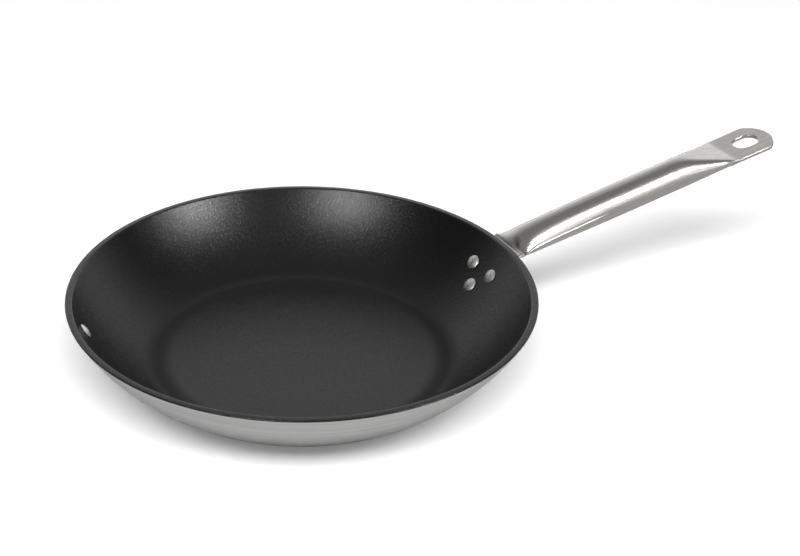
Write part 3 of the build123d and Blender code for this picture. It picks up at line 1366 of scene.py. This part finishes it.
    def oval(self, share: float) -> list[Pair]:
        """Quarter section of the tube's pan end, from its fold to its top.

        Args:
            share: Share of the pan end's length, from the bend.

        Returns:
            Points at the sections' shares.
        """
        rise = self.height_line.at(share) * self.tube_radius
        drop = self.drop_line.at(share) * self.tube_radius
        edge = mix(self.fold_edge, self.tube_wall, self.edge_line.at(share))
        wide = self.half_width(rise)
        high = rise + drop
        flatness = 1 - smooth_step(share / self.open_share)
        flat = self.racetrack(rise, wide - rise)
        if flatness == 1:
            return flat
        start = asin(min((edge + drop) / high, self.steepest))
        reach = wide / cos(start)
        line = [(wide, 0.0), (wide, edge)]
        for i in range(1, self.oval_steps + 1):
            turn = mix(start, pi / 2, i / self.oval_steps)
            line.append((reach * cos(turn), high * sin(turn) - drop))
        bent = spaced(line, self.shares())
        kept = smooth_step((self.groove_end - share) / (self.groove_end - self.groove_share))
        depth = self.groove_depth * kept * (1 - flatness)
        cut = [depth * max(1 - y / self.groove_half, 0.0) for _, y in bent]
        return [
            (mix(b[0] - c, f[0], flatness), mix(b[1], f[1], flatness)) for b, f, c in zip(bent, flat, cut)
        ]

    def racetrack(self, rise: float, facet: float) -> list[Pair]:
        """Quarter section with a round side and a flat top.

        Args:
            rise: Half height, also the radius of the side.
            facet: Half width of the flat.

        Returns:
            Points at the sections' shares.
        """
        side = arc_points((facet, 0.0), rise, 0.0, pi / 2, self.side_round_steps)
        return spaced([*side, (0.0, rise)], self.shares())

    def cut_section(self, half: float, rise: float) -> list[Pair]:
        """Quarter section of the flat tab, with its cut edge and seam.

        Args:
            half: Half width of the section.
            rise: Its half height.

        Returns:
            As many points as every section has.
        """
        lift = rise - self.tube_wall
        edge = [(half - inset, level + lift * (level > self.seam_half)) for inset, level in self.edge_depths]
        rest = len(self.shares()) - len(edge)
        inner = edge[-1][0]
        return edge + [(inner * (1 - (i + 1) / rest), rise) for i in range(rest)]

    def ramp_section(self, share: float) -> list[Pair]:
        """Quarter section of the ramp, from its side to the middle of its facet.

        Args:
            share: Share of the ramp's length, from the round tube.

        Returns:
            Points at the sections' shares.
        """
        rise = self.ramp_line.at(share) * self.tube_radius
        pressed = (self.tube_radius - rise) / (self.tube_radius - self.tube_wall)
        facet = self.facet_start + (self.tab_half - self.tube_wall - self.facet_start) * pressed
        soft = self.racetrack(rise, facet)
        cut = smooth_step((share - self.cut_share) / (1 - self.cut_share))
        if cut == 0:
            return soft
        hard = self.cut_section(facet + rise, rise)
        return [(mix(s[0], h[0], cut), mix(s[1], h[1], cut)) for s, h in zip(soft, hard)]

    def ring(self, quarter: Sequence[Pair], origin: Vector, top: Vector, bow: float) -> list[Vector]:
        """Whole section in place, from the +Y side over the top and back underneath.

        Args:
            quarter: Points from the side to the top.
            origin: Middle of the section.
            top: Direction of its top.
            bow: Share of the wall's bow that it follows.

        Returns:
            The points round the section.
        """
        back = quarter[::-1]
        flat = [
            *quarter,
            *[(-x, y) for x, y in back[1:]],
            *[(-x, -y) for x, y in quarter[1:]],
            *[(x, -y) for x, y in back[1:-1]],
        ]
        placed = []
        for x, y in flat:
            lift = bow * (self.bow_radius - sqrt(self.bow_radius**2 - x * x))
            placed.append(origin + self.across * x + top * (y + lift))
        return placed

    def tail_section(self, run: float) -> list[Pair]:
        """Quarter section of the plate near its rounded tail.

        Args:
            run: Distance from the tail's end along the plate.

        Returns:
            Points at the sections' shares, thinned where the rounded edge is near.
        """
        wide = self.half_width(self.tube_wall)
        radius = self.plate_corner
        middle = wide - radius
        if run >= radius:
            return self.racetrack(self.tube_wall, wide - self.tube_wall)
        reach = middle + sqrt(radius**2 - (radius - run) ** 2)
        line = []
        for i in range(self.side_round_steps + 1):
            x = reach * cos(pi / 2 * i / self.side_round_steps)
            depth = radius - hypot(max(x - middle, 0.0), radius - run)
            near = max(self.tube_wall - max(depth, 0.0), 0.0)
            line.append((x, sqrt(max(self.tube_wall**2 - near**2, 0.0))))
        return spaced(line, self.shares())

    def plate_rings(self, skin: Skin) -> list[list[int]]:
        """Adds the plate on the wall.

        Args:
            skin: The handle's mesh.

        Returns:
            Its rings, from the tail up to the bend.
        """
        tail_place = self.shell.wall_place(0.0, self.tail_depth)
        tail_normal = tail_place.col[2]
        rivet_angle = atan2(tail_normal.z, tail_normal.x)
        tail_angle = rivet_angle - self.plate_tail / self.plate_arc
        length = (self.seam_angle - tail_angle) * self.plate_arc
        steps = self.tail_steps
        fine = [self.plate_corner * (1 - cos(pi / 2 * i / steps)) for i in range(steps + 1)]
        steps = self.plate_steps
        runs = fine + [mix(self.plate_corner, length, (i + 1) / steps) for i in range(steps)]
        rings = []
        for run in runs:
            turn = tail_angle + run / self.plate_arc
            normal = Vector((cos(turn), 0, sin(turn)))
            origin = self.arc_centre + normal * self.plate_arc
            rings.append(skin.add(self.ring(self.tail_section(run), origin, -normal, 1.0)))
        return rings

    def bend_rings(self, skin: Skin) -> list[list[int]]:
        """Adds the bend.

        Args:
            skin: The handle's mesh.

        Returns:
            Its rings, after the plate's last one.
        """
        start = self.seam_angle + pi
        end = pi / 2 + self.slope
        wide = self.half_width(self.tube_wall)
        quarter = self.racetrack(self.tube_wall, wide - self.tube_wall)
        rings = []
        for i in range(1, self.bend_steps + 1):
            turn = mix(start, end, i / self.bend_steps)
            top = Vector((cos(turn), 0, sin(turn)))
            origin = self.bend_centre + top * self.bend_radius
            rings.append(skin.add(self.ring(quarter, origin, top, 1.0)))
        return rings

    def straight_rings(self, skin: Skin) -> list[list[int]]:
        """Adds the pan end, the round tube and the ramp.

        Args:
            skin: The handle's mesh.

        Returns:
            Their rings, after the bend's last one.
        """
        rings = []
        for i in range(1, self.pan_end_steps + 1):
            share = (i / self.pan_end_steps) ** self.pan_end_power
            origin = self.bend_start + self.along * (share * self.pan_end)
            bow = 1 - smooth_step(share / self.bow_share)
            rings.append(skin.add(self.ring(self.oval(share), origin, self.upward, bow)))
        tube_start = self.bend_start + self.along * self.pan_end
        circle = self.racetrack(self.tube_radius, 0.0)
        for i in range(1, self.tube_steps + 1):
            origin = tube_start.lerp(self.ramp_foot, i / self.tube_steps)
            rings.append(skin.add(self.ring(circle, origin, self.upward, 0.0)))
        for i in range(1, self.ramp_steps + 1):
            share = i / self.ramp_steps
            origin = self.ramp_foot + self.along * (share * self.ramp)
            rings.append(skin.add(self.ring(self.ramp_section(share), origin, self.upward, 0.0)))
        return rings

    def tab_path(self) -> list[tuple[Pair, Pair]]:
        """Edge of the tab from its +Y foot round the tip to its -Y foot.

        Returns:
            Each point, along and across the tab, with its outward direction.
        """
        taper = atan2(self.tab_tip_half - self.tab_half, self.tab_side)
        crown = self.tab_length - self.tab_side
        tip_arc = (self.tab_tip_half**2 + crown**2) / (2 * crown)
        middle = (self.tab_length - tip_arc, 0.0)
        start = (self.tab_corner * sin(taper) - middle[0], self.tab_half - self.tab_corner * cos(taper))
        reach = start[0] * cos(taper) + start[1] * sin(taper)
        run = -reach + sqrt(reach**2 - start[0] ** 2 - start[1] ** 2 + (tip_arc - self.tab_corner) ** 2)
        centre = (middle[0] + start[0] + run * cos(taper), start[1] + run * sin(taper))
        turn = atan2(centre[1], centre[0] - middle[0])
        corner = arc_points(centre, self.tab_corner, pi / 2 + taper, turn, self.corner_steps)
        tip = arc_points(middle, tip_arc, turn, 0.0, self.tip_steps)[1:]
        side_way = (-sin(taper), cos(taper))
        half = [((0.0, self.tab_half), (0.0, 1.0))]
        for i in range(1, self.side_steps):
            share = i / self.side_steps
            half.append(((corner[0][0] * share, mix(self.tab_half, corner[0][1], share)), side_way))
        for points, hub, radius in ((corner, centre, self.tab_corner), (tip, middle, tip_arc)):
            half += [((x, y), ((x - hub[0]) / radius, (y - hub[1]) / radius)) for x, y in points]
        return half + [((a, -b), (n, -m)) for (a, b), (n, m) in reversed(half[:-1])]

    def slot_edge(self, turn: float) -> tuple[Pair, Pair]:
        """Point of the slot's edge seen from its middle at an angle.

        Args:
            turn: The angle, in radians.

        Returns:
            The point and the direction into the slot.
        """
        radius = self.slot_width / 2
        half = self.slot_length / 2 - radius
        ahead, aside = cos(turn), sin(turn)
        if abs(aside) * half >= radius * abs(ahead) and abs(aside) > TINY:
            reach = radius / abs(aside)
        else:
            reach = half * abs(ahead) + sqrt(radius**2 - (half * aside) ** 2)
        x, y = reach * ahead, reach * aside
        middle = min(max(x, -half), half)
        inward = ((middle - x) / radius, -y / radius)
        return (self.slot_offset + x, y), inward

    def on_tab(self, place: Pair, height: float) -> Vector:
        """Point of the tab in the shared frame."""
        return self.tab_foot + self.along * place[0] + self.across * place[1] + self.upward * height

    def edge_strip(self, skin: Skin, path: Sequence[tuple[Pair, Pair]]) -> list[list[int]]:
        """Rows of points down a cut edge, from the top face to the bottom face.

        Args:
            skin: The mesh that they join.
            path: Points of the edge with the direction away from the metal.

        Returns:
            One row along the path for each height.
        """
        down = [(inset, height) for inset, height in reversed(self.edge_depths)]
        down += [(inset, -height) for inset, height in self.edge_depths[1:]]
        rows = []
        for inset, height in down:
            row = [self.on_tab((p[0] - n[0] * inset, p[1] - n[1] * inset), height) for p, n in path]
            rows.append(skin.add(row))
        return rows

    def face_fill(self, skin: Skin, outer: Sequence[int], inner: Sequence[int]) -> None:
        """Fills a flat face of the tab.

        Args:
            skin: The handle's mesh.
            outer: Numbers of the points round the face.
            inner: Numbers of as many points round the slot.
        """
        before = list(outer)
        for share in self.face_shares:
            loop = skin.add([skin.points[a].lerp(skin.points[b], share) for a, b in zip(outer, inner)])
            skin.bridge(before, loop)
            before = loop
        skin.bridge(before, list(inner))

    def tab(self, skin: Skin, last: Sequence[int]) -> None:
        """Adds the tab with its slot to the ramp's last ring.

        Args:
            skin: The handle's mesh.
            last: Numbers of the ramp's last ring.
        """
        steps = len(self.shares()) - 1
        edge = len(self.edge_depths) - 1
        rows = self.edge_strip(skin, self.tab_path())
        for upper, lower in zip(rows, rows[1:]):
            skin.bridge(upper, lower, closed=False)
        near = list(last[: edge + 1])[::-1] + list(last[-edge:])[::-1]
        far = list(last[2 * steps - edge: 2 * steps + edge + 1])
        for row, start, end in zip(rows, near, far):
            skin.points[row[0]] = skin.points[start].copy()
            skin.points[row[-1]] = skin.points[end].copy()
        top_loop = list(last[edge: 2 * steps - edge + 1])[::-1] + rows[0][1:-1]
        bottom_loop = list(last[2 * steps + edge: 4 * steps - edge + 1]) + rows[-1][1:-1]
        path = []
        for number in top_loop:
            offset = skin.points[number] - self.tab_foot
            turn = atan2(offset.dot(self.across), offset.dot(self.along) - self.slot_offset)
            path.append(self.slot_edge(turn))
        wall = self.slot_wall(skin, path)
        self.face_fill(skin, top_loop, wall[0])
        self.face_fill(skin, bottom_loop, wall[-1])

    def slot_wall(self, skin: Skin, path: Sequence[tuple[Pair, Pair]]) -> list[list[int]]:
        """Adds the wall of the slot with its rounded edges and seam.

        Args:
            skin: The handle's mesh.
            path: Points of the slot's edge with the direction into the slot.

        Returns:
            One row round the slot for each height.
        """
        rows = self.edge_strip(skin, path)
        for upper, lower in zip(rows, rows[1:]):
            skin.bridge(upper, lower)
        return rows

    def build(self, metal: bpy.types.Material) -> None:
        """Makes the whole handle as one piece.

        Args:
            metal: Its finish.
        """
        skin = Skin()
        rings = [*self.plate_rings(skin), *self.bend_rings(skin), *self.straight_rings(skin)]
        for before, after in zip(rings, rings[1:]):
            skin.bridge(before, after)
        self.tab(skin, rings[-1])
        stand_in(skin.piece("handle_pressed_tube", metal), "handle", Slot.HANDLE_STEEL)


@dataclass
class Softbox:
    """A large soft white lamp, placed by where it stands as seen from the pan.

    Attributes:
        name: Name of the lamp.
        azimuth: Its direction, from +Y towards +X.
        elevation: Its angle above the floor.
        distance: Its distance from what it faces.
        width: Its width.
        height: Its height.
        brightness: How bright its face is, where 1 is white.
        lights: Whether it lights dull surfaces.
        mirrored: Whether shiny surfaces show it.
    """

    name: str
    azimuth: float
    elevation: float
    distance: float
    width: float
    height: float
    brightness: float
    lights: bool
    mirrored: bool

    def build(self, aim: Vector) -> None:
        """Makes the lamp.

        Args:
            aim: Point that it faces.
        """
        data = bpy.data.lights.new(self.name, "AREA")
        data.shape = "RECTANGLE"
        data.size = self.width
        data.size_y = self.height
        data.energy = self.brightness * pi * self.width * self.height
        lamp = bpy.data.objects.new(self.name, data)
        level = cos(self.elevation)
        way = Vector((sin(self.azimuth) * level, cos(self.azimuth) * level, sin(self.elevation)))
        lamp.location = aim + way * self.distance
        lamp.rotation_euler = (-way).to_track_quat("-Z", "Y").to_euler()
        lamp.visible_diffuse = self.lights
        lamp.visible_glossy = self.mirrored
        bpy.context.scene.collection.objects.link(lamp)
        log.info("%s: %.2f x %.2f m at %.1f m", self.name, self.width, self.height, self.distance)


@dataclass
class Studio:
    """White floor, pale surroundings, soft lamps and the camera.

    Attributes:
        floor_half: Half width of the floor.
        floor_colour: Its colour, which clips to white where nothing shades it.
        floor_mirrored: Its colour in shiny surfaces.
        floor_glow: Light that it gives off to the camera alone.
        horizon_light: Level of the bright band over the horizon, behind the camera.
        backdrop_light: Level of the backdrop behind the pan.
        world_share: Share of the surroundings' light that falls on dull surfaces.
        roof_light: Level overhead.
        side_light: Level to the left and right.
        side_start: Share of the way to the side where the sides begin to darken.
        side_full: Share where they have their own level.
        backdrop_start: Share of the way ahead where the backdrop begins.
        backdrop_full: Share where it is full.
        horizon_low: Angle up to which the bright band is full.
        horizon_top: Angle at which it ends.
        backdrop_shares: Shares of the backdrop's light at angles above the floor, in degrees.
        camera_place: Where the camera stands.
        camera_ahead: Where it looks.
        lens: Its focal length, in millimetres.
        sensor: Width of its sensor, in millimetres.
        aim_column: Pixel column of the photograph that it looks straight at.
    """

    floor_half: float = 30.0
    floor_colour: Colour = (0.86, 0.86, 0.86)
    floor_mirrored: Colour = (0.44, 0.44, 0.44)
    floor_glow: float = 0.16
    horizon_light: float = 1.0
    backdrop_light: float = 1.62
    world_share: float = 0.32
    roof_light: float = 0.26
    side_light: float = 0.03
    side_start: float = 0.50
    side_full: float = 0.80
    backdrop_start: float = 0.30
    backdrop_full: float = 0.75
    horizon_low: float = radians(5)
    horizon_top: float = radians(13)
    backdrop_shares: tuple[Pair, ...] = (
        (0.0, 1.0), (14.0, 0.85), (25.0, 0.62), (33.0, 0.49),
        (43.0, 0.43), (58.0, 0.38), (71.0, 0.29), (88.0, 0.21),
    )
    camera_place: Vector = field(default_factory=lambda: Vector((-0.3304, -0.7200, 0.4970)))
    camera_ahead: Vector = field(default_factory=lambda: Vector((0.3642, 0.7941, -0.4867)))
    lens: float = 68.94
    sensor: float = 36.0
    aim_column: float = 301.4

    def floor(self) -> None:
        """Makes the floor that keeps the shadow, white to the camera and grey in the metal."""
        half = self.floor_half
        corners = [(-half, -half, 0), (half, -half, 0), (half, half, 0), (-half, half, 0)]
        mesh = bpy.data.meshes.new("floor")
        mesh.from_pydata(corners, [], [(0, 1, 2, 3)])
        made, nodes, shader = blank_material("studio_floor")
        shader.inputs["Roughness"].default_value = 1.0
        shader.inputs["Specular IOR Level"].default_value = 0.0
        light = nodes.new("ShaderNodeLightPath")
        shader.inputs["Emission Color"].default_value = (1, 1, 1, 1)
        mirrored = light.outputs["Is Glossy Ray"]
        colour = nodes.blend(mirrored, (*self.floor_colour, 1), (*self.floor_mirrored, 1))
        nodes.feed(shader.inputs["Base Color"], colour)
        glow = nodes.math("MULTIPLY", light.outputs["Is Camera Ray"], self.floor_glow)
        nodes.feed(shader.inputs["Emission Strength"], glow)
        mesh.materials.append(made)
        floor = bpy.data.objects.new("floor", mesh)
        bpy.context.scene.collection.objects.link(floor)

    def surroundings(self) -> None:
        """Lights the world: a bright horizon, a backdrop that darkens upwards and a grey roof."""
        world = bpy.data.worlds.new("studio")
        world.use_nodes = True
        world.node_tree.nodes.clear()
        nodes = Nodes(world.node_tree)
        way = nodes.new("ShaderNodeTexCoord").outputs["Generated"]
        split = nodes.new("ShaderNodeSeparateXYZ")
        nodes.feed(split.inputs[0], way)
        x, y, z = split.outputs
        ahead = self.camera_ahead.xy.normalized()
        facing = nodes.math("ADD", nodes.math("MULTIPLY", x, ahead.x), nodes.math("MULTIPLY", y, ahead.y))
        aside = nodes.math("ADD", nodes.math("MULTIPLY", x, ahead.y), nodes.math("MULTIPLY", y, -ahead.x))
        beside = nodes.band(nodes.math("ABSOLUTE", aside), self.side_start, self.side_full, 0.0, 1.0)
        roof = nodes.band(beside, 0.0, 1.0, self.roof_light, self.side_light)
        horizon = nodes.band(z, sin(self.horizon_low), sin(self.horizon_top), 1.0, 0.0)
        horizon = nodes.math("MULTIPLY", horizon, nodes.math("SUBTRACT", 1.0, beside))
        bright = nodes.math("MULTIPLY", horizon, self.horizon_light)
        dim = nodes.math("MULTIPLY", nodes.math("SUBTRACT", 1.0, horizon), roof)
        low = nodes.math("ADD", bright, dim)
        behind = nodes.band(facing, self.backdrop_start, self.backdrop_full, 0.0, 1.0)
        fade = nodes.new("ShaderNodeValToRGB")
        nodes.feed(fade.inputs[0], z)
        stops = fade.color_ramp.elements
        while len(stops) < len(self.backdrop_shares):
            stops.new(0.5)
        for stop, (angle, level) in zip(stops, self.backdrop_shares):
            stop.position = sin(radians(angle))
            stop.color = (level, level, level, 1)
        backdrop = nodes.math("MULTIPLY", fade.outputs[0], self.backdrop_light)
        away = nodes.math("MULTIPLY", nodes.math("SUBTRACT", 1.0, behind), low)
        strength = nodes.math("ADD", nodes.math("MULTIPLY", behind, backdrop), away)
        light = nodes.new("ShaderNodeLightPath")
        seen = nodes.math("MAXIMUM", light.outputs["Is Camera Ray"], light.outputs["Is Glossy Ray"])
        seen = nodes.math("MAXIMUM", seen, light.outputs["Is Transmission Ray"])
        strength = nodes.math("MULTIPLY", strength, nodes.band(seen, 0.0, 1.0, self.world_share, 1.0))
        back = nodes.new("ShaderNodeBackground")
        back.inputs["Color"].default_value = (1, 1, 1, 1)
        nodes.feed(back.inputs["Strength"], strength)
        out = nodes.new("ShaderNodeOutputWorld")
        nodes.feed(out.inputs["Surface"], back.outputs[0])
        bpy.context.scene.world = world

    def lamps(self, aim: Vector) -> None:
        """Places the softboxes round the object.

        The first one lights it. The others are only mirrored, by its metal and its lining.

        Args:
            aim: Point that they face.
        """
        boxes = (
            Softbox(
                "overhead_softbox", azimuth=radians(204.6), elevation=radians(56), distance=3.0,
                width=3.6, height=1.2, brightness=12.2, lights=True, mirrored=False,
            ),
            Softbox(
                "strip_softbox", azimuth=radians(158), elevation=radians(2), distance=4.5,
                width=1.6, height=1.2, brightness=2.2, lights=False, mirrored=True,
            ),
            Softbox(
                "right_softbox", azimuth=radians(144), elevation=radians(29), distance=4.5,
                width=0.9, height=1.3, brightness=44.0, lights=False, mirrored=True,
            ),
            Softbox(
                "left_softbox", azimuth=radians(231), elevation=radians(38), distance=4.5,
                width=1.3, height=1.2, brightness=27.0, lights=False, mirrored=True,
            ),
        )
        for box in boxes:
            box.build(aim)

    def camera(self) -> None:
        """Makes the camera of the photograph."""
        data = bpy.data.cameras.new("camera")
        data.sensor_width = self.sensor
        data.lens = self.lens
        data.shift_x = (PHOTO_WIDTH / 2 - self.aim_column) / PHOTO_WIDTH
        camera = bpy.data.objects.new("camera", data)
        camera.location = self.camera_place
        camera.rotation_euler = self.camera_ahead.to_track_quat("-Z", "Y").to_euler()
        bpy.context.scene.collection.objects.link(camera)
        bpy.context.scene.camera = camera

    def build(self) -> None:
        """Builds the studio round the pan."""
        height = CAD_BOX[1].z
        self.floor()
        self.surroundings()
        self.lamps(Vector((0.0, 0.0, height / 2)))
        self.camera()
        bpy.context.scene.view_settings.view_transform = "Standard"


def main() -> None:
    """Builds the pan in the order in which it is made, then the studio."""
    logging.basicConfig(level=logging.INFO, format="%(name)s: %(message)s")
    effects = Effects()
    shell = PanShell()
    handle = TubeHandle(shell)
    aluminium = MetalFinish(
        name="satin_aluminium",
        colour=(0.62, 0.62, 0.615),
        dull=(0.42, 0.42, 0.415),
        roughness=0.30,
        roughness_spread=0.06,
        grain=Grain.TURNED,
        lines_per_metre=2600.0,
        line_depth=0.00004,
        line_strength=0.35,
    )
    steel = MetalFinish(
        name="brushed_handle_steel",
        colour=(0.54, 0.527, 0.512),
        dull=(0.38, 0.368, 0.354),
        roughness=0.22,
        roughness_spread=0.06,
        grain=Grain.ALONG_HANDLE,
        lines_per_metre=3600.0,
        line_depth=0.00004,
        line_strength=0.45,
        handle_tilt=handle.slope,
    )
    shell.build(aluminium.material(effects), NonStickFinish().material(effects))
    RivetSet(shell).build(RivetFinish().material(effects))
    handle.build(steel.material(effects))
    Studio().build()


if __name__ == "__main__":
    main()
